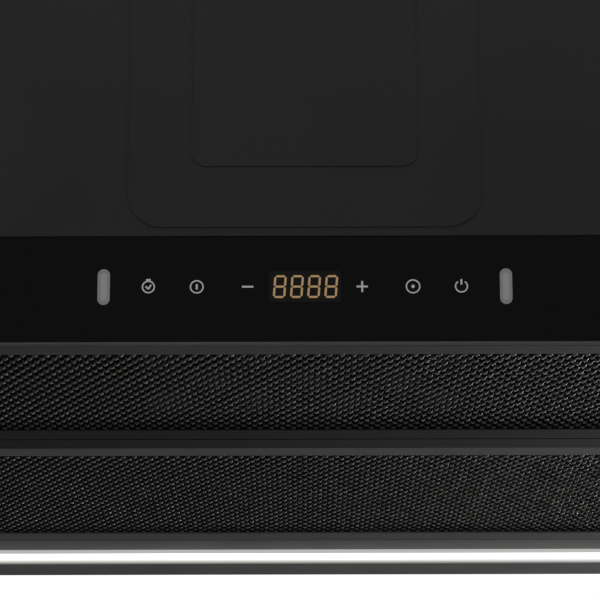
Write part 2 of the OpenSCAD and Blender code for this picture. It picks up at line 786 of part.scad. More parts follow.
module at_gland() translate([gland_x, -gland_back, roof_z]) children();
module cable_gland() color("black") at_gland() difference() {
  union() {
    translate([0, 0, -8]) cylinder(r = gland_hole_r - 0.1, h = 20);
    translate([0, 0, sheet]) cylinder(r = gland_hex_r, h = gland_hex_t, $fn = 6);
    translate([0, 0, sheet + gland_hex_t]) cylinder(r1 = 11, r2 = 8, h = gland_cone);
    translate([0, 0, -box_wall - gland_nut_t]) cylinder(r = gland_nut_r, h = gland_nut_t, $fn = 6);
  }
  translate([0, 0, -4 * past]) cylinder(r = gland_bore_r, h = 10 * past);
}

module outlet_collar() color("black") translate([0, collar_y, top_z]) difference() {
  union() {
    cylinder(r = collar_r, h = collar_h, $fn = 96);
    cylinder(r = collar_r + collar_flange, h = collar_flange_t, $fn = 96);
  }
  translate([0, 0, flap_rise - 1]) cylinder(r = collar_r - collar_wall, h = collar_h, $fn = 96);
  translate([0, 0, -1]) cylinder(r = collar_r - collar_wall, h = 8, $fn = 96);
  translate([0, 0, -1]) cylinder(r = flap_r - flap_ledge, h = 4 * past, $fn = 96);
  translate([0, 0, flap_rise]) bar_y(-collar_r - past, collar_r + past, flap_pin_r);
  translate([0, -collar_y, -top_z]) at_collar_screws() screw_hole();
}

module flap_pin() color("silver") translate([0, collar_y, flap_z])
  bar_y(-collar_r + 0.3, collar_r - 0.3, flap_pin_r);

// A half-moon flap on the +X side; its knuckles lie at the given spans along the pin
module flap(spans) translate([0, collar_y, flap_z]) difference() {
  union() {
    intersection() {
      translate([0, 0, -flap_t / 2]) cylinder(r = flap_r, h = flap_t, $fn = 96);
      span([knuckle_r + 0.8, -flap_r, -flap_t], [flap_r, flap_r, flap_t]);
    }
    for (k = spans) {
      bar_y(k[0], k[1], knuckle_r);
      span([0, k[0], -flap_t / 2], [knuckle_r + 2, k[1], flap_t / 2]);
    }
  }
  bar_y(-flap_r - past, flap_r + past, flap_pin_r + flap_pin_clearance);
}
module flap_right() color("gray") flap(knuckles);
module flap_left() color("gray") mirror([1, 0, 0]) flap([for (k = knuckles) [-k[1], -k[0]]]);

back_panel();
wall_plates();
top_panel();
side_panel_left();
side_panel_right();
front_panel();
glass_rail();
control_glass();
trim_lip();
intake_frame();
sensor_windows();
control_carrier();
control_board();
touch_springs();
display_module();
sensor_boards();
light_channel();
light_board();
light_diffuser();
light_driver();
filter_pivots();
front_filter_frame();
front_filter_outer_mesh();
front_filter_inner_mesh();
front_filter_pins();
front_latch_cases();
front_latch_left();
front_latch_right();
front_latch_springs();
rear_filter_frame();
rear_filter_outer_mesh();
rear_filter_inner_mesh();
rear_filter_pins();
rear_latch_cases();
rear_latch_left();
rear_latch_right();
rear_latch_springs();
scroll_left();
scroll_right();
inlet_rings();
blower_flange();
motor();
motor_bracket();
motor_shaft();
impeller();
impeller_hub();
shaft_nut();
run_capacitor();
capacitor_clip();
electronics_box();
electronics_lid();
power_board();
terminal_block();
cable_gland();
outlet_collar();
flap_pin();
flap_left();
flap_right();
panel_screws();
blower_screws();
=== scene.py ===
"""Looks of a wall-hung kitchen range hood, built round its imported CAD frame.

X is the width, -Y the front, +Z up; lengths are in metres and come from the frame's own boxes.
"""
import math

import bmesh
import bpy
import numpy as np
from mathutils import Matrix, Vector


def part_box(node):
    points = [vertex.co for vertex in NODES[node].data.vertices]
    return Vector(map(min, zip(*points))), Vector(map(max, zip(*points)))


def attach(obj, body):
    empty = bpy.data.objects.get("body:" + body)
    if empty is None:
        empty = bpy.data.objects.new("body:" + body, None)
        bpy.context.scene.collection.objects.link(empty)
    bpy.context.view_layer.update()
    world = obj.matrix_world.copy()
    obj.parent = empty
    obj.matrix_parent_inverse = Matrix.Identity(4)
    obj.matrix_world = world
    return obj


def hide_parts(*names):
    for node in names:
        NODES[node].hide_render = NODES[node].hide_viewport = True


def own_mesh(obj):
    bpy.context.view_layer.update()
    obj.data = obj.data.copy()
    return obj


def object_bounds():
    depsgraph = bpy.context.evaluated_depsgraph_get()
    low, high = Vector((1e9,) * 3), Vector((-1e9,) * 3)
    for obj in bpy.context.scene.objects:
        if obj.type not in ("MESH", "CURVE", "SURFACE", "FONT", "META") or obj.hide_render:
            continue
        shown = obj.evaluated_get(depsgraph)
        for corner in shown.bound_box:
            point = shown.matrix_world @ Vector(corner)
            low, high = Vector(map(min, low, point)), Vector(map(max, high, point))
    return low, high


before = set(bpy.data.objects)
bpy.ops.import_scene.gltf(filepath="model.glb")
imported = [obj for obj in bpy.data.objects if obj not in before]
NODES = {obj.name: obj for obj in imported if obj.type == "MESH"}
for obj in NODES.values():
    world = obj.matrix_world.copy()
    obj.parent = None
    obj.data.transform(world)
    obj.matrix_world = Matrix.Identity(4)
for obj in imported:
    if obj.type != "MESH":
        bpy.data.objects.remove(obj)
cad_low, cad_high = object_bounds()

MM = 0.001


# ---------------------------------------------------------------- materials

# Height of the grain, the share that roughness drifts by, and what is left of a lower
# face's painted light above that face
GRAIN_HEIGHT = 0.2 * MM
ROUGH_DRIFT = 0.12
LIT_FACE_REST = 0.13


def node_tree(name):
    """A new material and its tree, with the Principled shader that it starts with."""
    made = bpy.data.materials.new(name)
    made.use_nodes = True
    tree = made.node_tree
    return made, tree, tree.nodes["Principled BSDF"]


def noise(tree, scale, detail=3.0, stretch=(1, 1, 1)):
    """A noise pattern over the piece's own coordinates; scale is in blobs per metre."""
    place = tree.nodes.new("ShaderNodeTexCoord")
    mapping = tree.nodes.new("ShaderNodeMapping")
    mapping.inputs["Scale"].default_value = stretch
    pattern = tree.nodes.new("ShaderNodeTexNoise")
    pattern.inputs["Scale"].default_value = scale
    pattern.inputs["Detail"].default_value = detail
    tree.links.new(place.outputs["Object"], mapping.inputs["Vector"])
    tree.links.new(mapping.outputs["Vector"], pattern.inputs["Vector"])
    return pattern.outputs["Fac"]


def ramp(tree, fac, low, high, start=0.3, end=0.7):
    """Colours from low to high as fac goes from start to end."""
    made = tree.nodes.new("ShaderNodeValToRGB")
    made.color_ramp.elements[0].position = start
    made.color_ramp.elements[1].position = end
    made.color_ramp.elements[0].color = (*low, 1)
    made.color_ramp.elements[1].color = (*high, 1)
    tree.links.new(fac, made.inputs["Fac"])
    return made.outputs["Color"]


def spread(tree, fac, low, high):
    """Maps a 0 to 1 pattern to low to high."""
    made = tree.nodes.new("ShaderNodeMapRange")
    made.inputs["From Min"].default_value = 0.3
    made.inputs["From Max"].default_value = 0.7
    made.inputs["To Min"].default_value = low
    made.inputs["To Max"].default_value = high
    tree.links.new(fac, made.inputs["Value"])
    return made.outputs["Result"]


def grained(tree, shader, rough, grain, bump, spec, stretch=(1, 1, 1)):
    """Fine grain in a shader's roughness and surface; grain is in blobs per metre."""
    fine = noise(tree, grain, 4.0, stretch)
    rougher = min(1.0, rough * (1 + ROUGH_DRIFT))
    tree.links.new(spread(tree, fine, rough * (1 - ROUGH_DRIFT), rougher), shader.inputs["Roughness"])
    raised = tree.nodes.new("ShaderNodeBump")
    raised.inputs["Strength"].default_value = bump
    raised.inputs["Distance"].default_value = GRAIN_HEIGHT
    tree.links.new(fine, raised.inputs["Height"])
    tree.links.new(raised.outputs["Normal"], shader.inputs["Normal"])
    shader.inputs["Specular IOR Level"].default_value = spec


def finish(name, colour, rough, grain=1200, bump=0.1, vary=0.12, metal=0.0, cloud=14,
           stretch=(1, 1, 1), spec=0.5):
    """A finish whose colour drifts slowly, with fine grain in its roughness and surface."""
    made, tree, shader = node_tree(name)
    slow = noise(tree, cloud, 2.0)
    low = [c * (1 - vary) for c in colour]
    high = [c * (1 + vary) for c in colour]
    tree.links.new(ramp(tree, slow, low, high), shader.inputs["Base Color"])
    grained(tree, shader, rough, grain, bump, spec, stretch)
    shader.inputs["Metallic"].default_value = metal
    return made


def along(tree, axis, low, high, stops):
    """Colours that follow the object's own axis from low to high, through the given stops."""
    place = tree.nodes.new("ShaderNodeTexCoord")
    split = tree.nodes.new("ShaderNodeSeparateXYZ")
    tree.links.new(place.outputs["Object"], split.inputs["Vector"])
    across = tree.nodes.new("ShaderNodeMapRange")
    across.inputs["From Min"].default_value = low
    across.inputs["From Max"].default_value = high
    tree.links.new(split.outputs[axis], across.inputs["Value"])
    shade = tree.nodes.new("ShaderNodeValToRGB")
    while len(shade.color_ramp.elements) < len(stops):
        shade.color_ramp.elements.new(0.5)
    for element, (position, colour) in zip(shade.color_ramp.elements, stops):
        element.position = position
        element.color = (*colour, 1)
    tree.links.new(across.outputs["Result"], shade.inputs["Fac"])
    return shade.outputs["Color"]


def grey(value, warm=0.0):
    """A grey, a little warmer where warm is above zero."""
    return (value, value * (1 - warm * 0.4), value * (1 - warm))


def product(tree, first, second):
    """Two colours multiplied."""
    made = tree.nodes.new("ShaderNodeMixRGB")
    made.blend_type = "MULTIPLY"
    made.inputs["Fac"].default_value = 1.0
    tree.links.new(first, made.inputs["Color1"])
    tree.links.new(second, made.inputs["Color2"])
    return made.outputs["Color"]


def graded(name, axis, low, high, stops, rough=0.5, grain=1200, bump=0.15, spec=0.3, warm=0.0,
           lit_face=None):
    """A finish whose grey changes along one axis of the object, with fine grain; it paints light and
    shade.

    The last argument is (height, depth): the painted light holds on the faces at that height,
    and above them it turns to the plain black paint within the depth.
    """
    made, tree, shader = node_tree(name)
    base = along(tree, axis, low, high, [(position, grey(value, warm)) for position, value in stops])
    if lit_face:
        start, depth = lit_face
        fade = [(0.0, grey(1)), (1.0, grey(LIT_FACE_REST))]
        base = product(tree, base, along(tree, "Z", start + depth / 2, start + depth, fade))
    worn = ramp(tree, noise(tree, 30, 3.0), grey(0.9), grey(1.1))
    tree.links.new(product(tree, base, worn), shader.inputs["Base Color"])
    grained(tree, shader, rough, grain, bump, spec)
    return made


def glowing(name, colour, strength, rough=0.4):
    """A glowing material, for lit parts and for a painted glow: its light drifts a little along its
    length.
    """
    made, tree, shader = node_tree(name)
    slow = noise(tree, 9, 1.0)
    low = [c * 0.94 for c in colour]
    tree.links.new(ramp(tree, slow, low, colour), shader.inputs["Emission Color"])
    shader.inputs["Emission Strength"].default_value = strength
    tree.links.new(ramp(tree, slow, [c * 0.5 for c in low], [c * 0.55 for c in colour]),
                   shader.inputs["Base Color"])
    shader.inputs["Roughness"].default_value = rough
    return made


MATTE_BLACK = finish("matte_black_paint", (0.0132, 0.0132, 0.0136), 0.62, grain=1500, bump=0.25,
                     spec=0.25)
BLACK_GLASS = finish("control_glass", (0.0018, 0.0018, 0.002), 0.07, grain=500, bump=0.006,
                     vary=0.06, spec=0.16)
TRIM = finish("black_anodised_trim", (0.12, 0.12, 0.125), 0.3, grain=700, bump=0.05, metal=0.8,
              stretch=(0.05, 1, 1))
ZINC = finish("zinc_steel", (0.5, 0.51, 0.53), 0.42, grain=420, bump=0.1, metal=0.9, cloud=60, vary=0.18)
SCREW_STEEL = finish("bright_zinc", (0.62, 0.62, 0.6), 0.28, grain=900, bump=0.05, metal=1.0)
WIRE_STEEL = finish("spring_wire", (0.55, 0.55, 0.56), 0.25, grain=1500, bump=0.04, metal=1.0)
CAST_ALLOY = finish("cast_alloy", (0.46, 0.46, 0.47), 0.48, grain=700, bump=0.3, metal=0.85, cloud=40)
GALVANISED = finish("galvanised", (0.46, 0.48, 0.5), 0.36, grain=160, bump=0.12, metal=0.9, cloud=90,
                    vary=0.22)
BLACK_PLASTIC = finish("black_plastic", (0.017, 0.017, 0.0175), 0.52, grain=1700, bump=0.35)
GREY_PLASTIC = finish("grey_plastic", (0.13, 0.135, 0.14), 0.5, grain=1500, bump=0.25)
WHITE_PLASTIC = finish("white_plastic", (0.7, 0.7, 0.67), 0.45, grain=1400, bump=0.15)
BOARD_GREEN = finish("circuit_board", (0.02, 0.13, 0.05), 0.4, grain=300, bump=0.1, vary=0.3, cloud=160)
# The sensor windows and their cores hold no lamp: their glow is painted light
LENS_PAINTED_GLOW = glowing("sensor_lens", (0.125, 0.125, 0.123), 0.75)
CORE_PAINTED_GLOW = glowing("sensor_core", (0.168, 0.168, 0.166), 0.75)
# The key symbols are print: their glow is painted light
SYMBOL_PAINTED_GLOW = glowing("symbol_print", (0.27, 0.27, 0.265), 0.8)
DIGIT_AMBER = glowing("digit_amber", (0.32, 0.205, 0.095), 0.8)
WINDOW_DARK = finish("display_window", (0.0085, 0.008, 0.0072), 0.12, grain=600, bump=0.01, spec=0.16)
LIGHT_WHITE = glowing("light_diffuser", (1.0, 1.0, 0.985), 2.2)


# ---------------------------------------------------------------- mesh helpers

def add(name, mesh, material, body, slot, *replaced):
    """Links a mesh as a piece of the object that rides on a body."""
    piece = bpy.data.objects.new(name, mesh)
    bpy.context.scene.collection.objects.link(piece)
    piece.data.materials.append(material)
    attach(piece, body)
    if replaced:
        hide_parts(*replaced)
    return piece


def from_bmesh(name, shape):
    """A mesh from a finished bmesh, its faces turned outwards."""
    mesh = bpy.data.meshes.new(name)
    bmesh.ops.recalc_face_normals(shape, faces=shape.faces)
    shape.to_mesh(mesh)
    shape.free()
    return mesh


def bevel(piece, width):
    """Rounds a piece's sharp edges by a modifier, which leaves a CAD mesh as it was."""
    made = piece.modifiers.new("edges", "BEVEL")
    made.width = width
    made.segments = 2
    made.limit_method = "ANGLE"
    made.angle_limit = math.radians(40)


def dress(node, material, width=0.0):
    """Gives a CAD node its material, and softens its edges where a width is given."""
    piece = NODES[node]
    piece.data.materials.clear()
    piece.data.materials.append(material)
    if width:
        bevel(piece, width)


def outline_prism(shape, points, depth_from, depth_to, place):
    """A closed prism over a plane outline; place(u, v, depth) gives a corner's position."""
    near = [shape.verts.new(place(u, v, depth_from)) for u, v in points]
    far = [shape.verts.new(place(u, v, depth_to)) for u, v in points]
    shape.faces.new(near)
    shape.faces.new(far[::-1])
    for i in range(len(points)):
        j = (i + 1) % len(points)
        shape.faces.new((near[j], near[i], far[i], far[j]))


def band(shape, inner, outer, depth_from, depth_to, place, closed=True):
    """A closed ring or strip between two outlines with the same number of points."""
    count = len(inner)
    rows = []
    for depth in (depth_from, depth_to):
        rows.append([shape.verts.new(place(u, v, depth)) for u, v in inner])
        rows.append([shape.verts.new(place(u, v, depth)) for u, v in outer])
    for i in range(count if closed else count - 1):
        j = (i + 1) % count
        for a, b in ((0, 1), (1, 3), (3, 2), (2, 0)):
            shape.faces.new((rows[a][i], rows[a][j], rows[b][j], rows[b][i]))
    if not closed:
        for i in (0, count - 1):
            shape.faces.new((rows[0][i], rows[1][i], rows[3][i], rows[2][i]))


def arc(radius, start, end, steps, centre=(0, 0)):
    """Points along an arc, in degrees."""
    angles = [math.radians(start + (end - start) * i / steps) for i in range(steps + 1)]
    return [(centre[0] + radius * math.cos(a), centre[1] + radius * math.sin(a)) for a in angles]


def rounded(width, height, radius, steps=6):
    """A rounded rectangle's outline, with its middle at the origin."""
    points = []
    for sx, sy, start in ((1, 1, 0), (-1, 1, 90), (-1, -1, 180), (1, -1, 270)):
        middle = (sx * (width / 2 - radius), sy * (height / 2 - radius))
        points += arc(radius, start, start + 90, steps, middle)
    return points


# ---------------------------------------------------------------- touch strip

# Thickness of the print, widths of its strokes, and the size of its rings
PRINT_T = 0.06 * MM
STROKE = 0.54 * MM
BAR_STROKE = 0.76 * MM
BAR_REACH = 2.3 * MM
RING_R = 2.4 * MM

glass_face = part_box("control_glass")[0].y
window_low, window_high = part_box("sensor_windows")
key_height = (window_low.z + window_high.z) / 2


def on_glass(x):
    """Places a symbol's plane point on the glass's front face, at a key's x."""
    return lambda u, v, depth: (x + u, glass_face - depth, key_height + v)


def ring(shape, place, radius, start=0, end=360, steps=40):
    """A round stroke about the key's middle, whole or from start to end in degrees."""
    closed = end - start == 360
    inner = arc(radius - STROKE / 2, start, end, steps)
    outer = arc(radius + STROKE / 2, start, end, steps)
    if closed:
        inner, outer = inner[:-1], outer[:-1]
    band(shape, inner, outer, 0, PRINT_T, place, closed)


def stroke(shape, place, start, end, width=STROKE):
    """A straight stroke with square ends."""
    a, b = Vector(start), Vector(end)
    side = (b - a).orthogonal().normalized() * width / 2
    corners = [tuple(p) for p in (a - side, b - side, b + side, a + side)]
    outline_prism(shape, corners, 0, PRINT_T, place)


def lamp_symbol(shape, place):
    """A ring with a cap on top and a tick inside."""
    ring(shape, place, RING_R)
    stroke(shape, place, (-0.9 * MM, 2.95 * MM), (0.9 * MM, 2.95 * MM), 0.8 * MM)
    stroke(shape, place, (-1.1 * MM, 0.2 * MM), (0, -0.9 * MM), 0.7 * MM)
    stroke(shape, place, (0, -0.9 * MM), (1.1 * MM, 0.9 * MM), 0.7 * MM)


def timer_symbol(shape, place):
    """A dial with its hand upright."""
    ring(shape, place, 2.55 * MM)
    stroke(shape, place, (0, -1.1 * MM), (0, 1.1 * MM), 0.8 * MM)


def minus_symbol(shape, place):
    """A level bar."""
    stroke(shape, place, (-BAR_REACH, 0), (BAR_REACH, 0), BAR_STROKE)


def plus_symbol(shape, place):
    """A minus and the two halves of its upright, which meet it edge to edge."""
    minus_symbol(shape, place)
    for sign in (-1, 1):
        stroke(shape, place, (0, sign * BAR_STROKE / 2), (0, sign * BAR_REACH), BAR_STROKE)


def target_symbol(shape, place):
    """A ring round a dot."""
    ring(shape, place, 2.7 * MM)
    outline_prism(shape, arc(0.72 * MM, 0, 360, 24)[:-1], 0, PRINT_T, place)


def power_symbol(shape, place):
    """A ring that is open at its top, where a short bar stands."""
    ring(shape, place, RING_R, start=-235, end=55)
    stroke(shape, place, (0, 0.7 * MM), (0, 3.0 * MM), 0.75 * MM)


# Width of a touch key's coil, and where the keys lie, in key pitches from the middle
KEY_COIL_W = 9.6 * MM
NEAR_STEP = 1.16
MIDDLE_STEP = 2.19
FAR_STEP = 3.17
coil_low, coil_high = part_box("touch_springs")
KEY_PITCH = (coil_high.x - coil_low.x - KEY_COIL_W) / (2 * FAR_STEP)
KEYS = {
    "lamp": (-FAR_STEP, lamp_symbol),
    "timer": (-MIDDLE_STEP, timer_symbol),
    "minus": (-NEAR_STEP, minus_symbol),
    "plus": (NEAR_STEP, plus_symbol),
    "target": (MIDDLE_STEP, target_symbol),
    "power": (FAR_STEP, power_symbol),
}


def build_keys():
    """Each key's symbol, printed on the glass, with a painted glow."""
    for key, (step, draw) in KEYS.items():
        shape = bmesh.new()
        draw(shape, on_glass(step * KEY_PITCH))
        add(f"key_symbol_{key}", from_bmesh(f"key_symbol_{key}", shape), SYMBOL_PAINTED_GLOW, "housing",
            "sensor_lens")


# The display window's width, height and corner; then the seven-segment digits: their number,
# size between the bars' middles, pitch, bar width, the gap where bars meet, how far they lean,
# and how far the row stands right of the middle
DISPLAY_WINDOW = (29 * MM, 13 * MM, 0.8 * MM)
DIGITS = 4
DIGIT_W = 4.2 * MM
DIGIT_H = 8.7 * MM
DIGIT_PITCH = 6.95 * MM
DIGIT_BAR = 0.85 * MM
DIGIT_GAP = 0.35 * MM
DIGIT_LEAN = 0.07
DIGIT_SHIFT = 0.25 * MM


def segment(shape, place, u, v, length, upright):
    """One hexagonal bar of a seven-segment digit, leaning a little to the right."""
    half = (length - DIGIT_GAP) / 2
    tip = DIGIT_BAR / 2
    outline = [(-half, 0), (-half + tip, tip), (half - tip, tip), (half, 0), (half - tip, -tip),
               (-half + tip, -tip)]
    points = []
    for a, b in outline:
        pu, pv = (u + b, v + a) if upright else (u + a, v + b)
        points.append((pu + DIGIT_LEAN * pv, pv))
    outline_prism(shape, points, PRINT_T, 2 * PRINT_T, place)


def build_display():
    """Four seven-segment digits in a slightly lighter window."""
    shape = bmesh.new()
    outline_prism(shape, rounded(*DISPLAY_WINDOW), 0, PRINT_T, on_glass(0))
    add("display_window", from_bmesh("display_window", shape), WINDOW_DARK, "housing", "display")
    for i in range(DIGITS):
        shape = bmesh.new()
        place = on_glass((i - (DIGITS - 1) / 2) * DIGIT_PITCH + DIGIT_SHIFT)
        for v in (-DIGIT_H / 2, 0, DIGIT_H / 2):
            segment(shape, place, 0, v, DIGIT_W, False)
        for u in (-DIGIT_W / 2, DIGIT_W / 2):
            for v in (-DIGIT_H / 4, DIGIT_H / 4):
                segment(shape, place, u, v, DIGIT_H / 2, True)
        add(f"display_digit_{i + 1}", from_bmesh("digit", shape), DIGIT_AMBER, "housing", "display")


# Half the width of a sensor's window, and the size and corner of its core
WINDOW_R = 2.5 * MM
CORE = (2.6 * MM, 11.5 * MM, 1.29 * MM)


def build_sensor_cores():
    """The lighter core of each gesture sensor's window, with a painted glow."""
    for side, sign in (("left", -1), ("right", 1)):
        middle = sign * (window_high.x - WINDOW_R)
        shape = bmesh.new()
        outline_prism(shape, rounded(*CORE), 0, PRINT_T, on_glass(middle))
        add(f"sensor_core_{side}", from_bmesh("sensor_core", shape), CORE_PAINTED_GLOW, "housing",
            "sensor_lens")


# ---------------------------------------------------------------- front panel

# The raised outlines' size, line width, height off the panel's lower edge, corner, how far
# the inner one stands inside the outer one, and how deep and how proud they stand
RELIEF_W = 145 * MM
RELIEF_H = 150 * MM
RELIEF_LINE = 0.42 * MM
RELIEF_RISE = 4 * MM
RELIEF_CORNER = 14 * MM
RELIEF_INSET = 26 * MM
RELIEF_SUNK = 0.1 * MM
RELIEF_PROUD = 0.22 * MM


def build_relief():
    """Two plain nested outlines, raised by a hair."""
    panel_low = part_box("front_panel")[0]
    middle_z = panel_low.z + RELIEF_RISE + RELIEF_H / 2

    def place(u, v, depth):
        return (u, panel_low.y - depth, middle_z + v)

    shape = bmesh.new()
    for inset in (0, RELIEF_INSET):
        radius = RELIEF_CORNER - inset * 0.3
        width, height = RELIEF_W - 2 * inset, RELIEF_H - 2 * inset
        inner = rounded(width - RELIEF_LINE, height - RELIEF_LINE, radius, 10)
        outer = rounded(width + RELIEF_LINE, height + RELIEF_LINE, radius + RELIEF_LINE, 10)
        band(shape, inner, outer, -RELIEF_SUNK, RELIEF_PROUD, place)
    add("front_relief", from_bmesh("front_relief", shape), MATTE_BLACK, "housing",
        "matte_black_paint")


# ---------------------------------------------------------------- grease filters

# Corners that fall in the same step of this size, in metres, become one
WELD = 2e-6


def weld_grid(points, faces):
    """Joins corners that lie in the same place, and drops the unused ones."""
    keys = np.round(points / WELD).astype(np.int64)
    first, joined = np.unique(keys, axis=0, return_index=True, return_inverse=True)[1:]
    return points[first], joined.reshape(-1)[faces]


def cell_middles(low, high, cell, keep_out, part):
    """The middles of the cells that fill an opening, in staggered rows, outside keep_out."""
    columns = int((high[0] - low[0]) / cell["pitch"]) + 1
    rows = int((high[1] - low[1]) / cell["row"]) + 1
    start_x = (low[0] + high[0] - (columns - 1) * cell["pitch"]) / 2
    start_y = (low[1] + high[1] - (rows - 1) * cell["row"]) / 2
    first_column, last_column = (round(share * columns) - 1 for share in part)
    i, j = np.meshgrid(np.arange(first_column, last_column + (part[1] == 1)), np.arange(rows),
                       indexing="ij")
    cx = (start_x + i * cell["pitch"] + (j % 2) * cell["pitch"] / 2).ravel()
    cy = (start_y + j * cell["row"]).ravel()
    keep = (cx > low[0]) & (cx < high[0])
    for x0, x1, y0, y1 in keep_out:
        keep &= ~((cx > x0) & (cx < x1) & (cy > y0) & (cy < y1))
    return cx[keep], cy[keep]


def cell_pattern(cell):
    """One diamond cell about its middle: its lower corners, with their rise from 0 to 1, and
    the triangles of both faces and of the hole's wall."""
    a, b, hole, slim = cell["pitch"] / 2, cell["row"], cell["hole"], cell["slim"]
    corners = [(1, 0), (0, 1), (-1, 0), (0, -1)]
    rim, inner = [], []
    for q, (u, v) in enumerate(corners):
        u2, v2 = corners[(q + 1) % 4]
        rim += [(a * u, b * v, 0), (a * (u + u2) / 2, b * (v + v2) / 2, 1)]
        inner += [(a * u * hole, b * v * hole, cell["pad"])]
        if slim:
            inner += [(a * (u + u2) / 2 * slim, b * (v + v2) / 2 * slim, 1)]
    n_rim, n_hole = len(rim), len(inner)
    count = n_rim + n_hole
    lower = []
    for k in range(0, n_rim, 2):
        middle, last = k + 1, (k + 2) % n_rim
        if slim:
            h0, h1, h2 = n_rim + k, n_rim + k + 1, n_rim + (k + 2) % n_hole
            lower += [(h0, middle, k), (h0, h1, middle), (h1, h2, middle), (h2, last, middle)]
        else:
            h0, h1 = n_rim + k // 2, n_rim + (k // 2 + 1) % n_hole
            lower += [(h0, middle, k), (h0, h1, middle), (h1, last, middle)]
    tris = list(lower) + [tuple(k + count for k in f[::-1]) for f in lower]
    for q in range(n_hole):
        h0, h1 = n_rim + q, n_rim + (q + 1) % n_hole
        tris += [(h0, h0 + count, h1), (h1, h0 + count, h1 + count)]
    return np.array(rim + inner, float), np.array(tris)


def expanded_sheet(name, low, high, cell, base, keep_out, part):
    """Expanded metal: diamond openings in staggered rows, whose knuckles stand lower than
    the strands between them.

    low and high are the opening's corners, base the height of the sheet's lower face, keep_out
    a list of (x0, x1, y0, y1) that hold no cell, and part the share of the columns to make.
    """
    cx, cy = cell_middles(low, high, cell, keep_out, part)
    corner, tris = cell_pattern(cell)
    level = base + corner[:, 2] * cell["bulge"]
    points = np.empty((len(cx), 2, len(corner), 3))
    points[..., 0] = cx[:, None, None] + corner[:, 0]
    points[..., 1] = cy[:, None, None] + corner[:, 1]
    points[:, 0, :, 2] = level
    points[:, 1, :, 2] = level + cell["thick"]
    starts = np.arange(len(cx)) * 2 * len(corner)
    faces = (tris[None] + starts[:, None, None]).reshape(-1, 3)
    points, faces = weld_grid(points.reshape(-1, 3), faces)
    mesh = bpy.data.meshes.new(name)
    mesh.vertices.add(len(points))
    mesh.vertices.foreach_set("co", points.ravel())
    mesh.loops.add(len(faces) * 3)
    mesh.loops.foreach_set("vertex_index", faces.ravel())
    mesh.polygons.add(len(faces))
    mesh.polygons.foreach_set("loop_start", np.arange(len(faces)) * 3)
    mesh.update(calc_edges=True)
    mesh.validate()
    return mesh


# How far a sheet runs into its frame, and how far it hangs below its CAD plate
MESH_GRIP = 3 * MM
SHEET_DROP = 0.25 * MM
# A latch's case, and the room that the mesh leaves round it: at its sides, ahead and behind
CASE_W = 60 * MM
CASE_ROOM = 0.5 * MM
CASE_AHEAD = 9 * MM
CASE_BEHIND = 2.6 * MM
# Each kind of opening: its pitch and row spacing, how much of the cell the hole takes at its
# corners (hole) and halfway along its sides (slim, 0 for straight sides), how high the hole's
# corners stand (pad, a share of bulge), how far the strands stand above the knuckles (bulge),
# and the sheet's thickness
OUTER_CELL = {"pitch": 5.04 * MM, "row": 5.14 * MM, "hole": 0.68, "slim": 0.85, "pad": 0.0,
              "bulge": 0.95 * MM, "thick": 0.5 * MM}
INNER_CELL = {"pitch": 5.85 * MM, "row": 5.96 * MM, "hole": 0.7, "slim": 0, "pad": 0.75,
              "bulge": 0.4 * MM, "thick": 0.5 * MM}
LAYERS = {"outer": (OUTER_CELL, (("left", (0, 0.5)), ("right", (0.5, 1)))),
          "inner": (INNER_CELL, (("whole", (0, 1)),))}
# The grey on the knuckles and on the strands: a painted highlight on the low knuckles, painted shade on
# the raised strands
MESH_PAINTED_LIGHT_GREYS = {"outer": (0.15, 0.02), "inner": (0.01, 0.006)}


def build_filter(which):
    """Both expanded sheets of one filter, in place of its plain CAD sheets."""
    for layer, (cell, parts) in LAYERS.items():
        node = f"{which}_filter_{layer}_mesh"
        low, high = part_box(node)
        opening_low = (low.x + MESH_GRIP, low.y + MESH_GRIP)
        opening_high = (high.x - MESH_GRIP, high.y - MESH_GRIP)
        case_low, case_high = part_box(f"{which}_latch_cases")
        keep_out = [
            (x0 - CASE_ROOM, x0 + CASE_W + CASE_ROOM, case_low.y - CASE_AHEAD, case_high.y + CASE_BEHIND)
            for x0 in (case_low.x, case_high.x - CASE_W)
        ]
        base = low.z - SHEET_DROP
        paint = mesh_painted_light(f"{which}_{layer}_mesh_painted_light", base, cell["bulge"], layer)
        for side, part in parts:
            name = f"{which}_filter_{layer}_sheet_{side}"
            mesh = expanded_sheet(name, opening_low, opening_high, cell, base, keep_out, part)
            add(name, mesh, paint, f"{which}_filter", "filter_mesh", node)


def mesh_painted_light(name, base, bulge, layer):
    """Black paint with a painted highlight on the low knuckles and painted shade on the raised strands.
    """
    knuckle, strand = MESH_PAINTED_LIGHT_GREYS[layer]
    stops = ((0.0, knuckle), (0.3, knuckle * 0.8), (0.62, strand), (1.0, strand))
    return graded(name, "Z", base, base + bulge, stops, rough=0.58, grain=900, bump=0.1, spec=0.22,
                  warm=0.12)


# ---------------------------------------------------------------- latch springs

# Radius of a latch spring's wire, and its number of turns
LATCH_WIRE_R = 0.3 * MM
LATCH_TURNS = 7


def build_latch_springs(which):
    """One coil behind each latch's slide."""
    node = f"{which}_latch_springs"
    low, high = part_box(node)
    outer_r = (high.z - low.z) / 2
    for side, middle_x in (("left", low.x + outer_r), ("right", high.x - outer_r)):
        shape = bmesh.new()
        axis = Vector((middle_x, 0, (low.z + high.z) / 2))
        coil_r = outer_r - LATCH_WIRE_R
        spring_coil(shape, axis, coil_r, low.y + LATCH_WIRE_R, high.y - LATCH_WIRE_R)
        name = f"{which}_latch_spring_{side}"
        spring = add(name, from_bmesh(name, shape), WIRE_STEEL, f"{which}_filter", "spring_steel", node)
        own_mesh(spring)


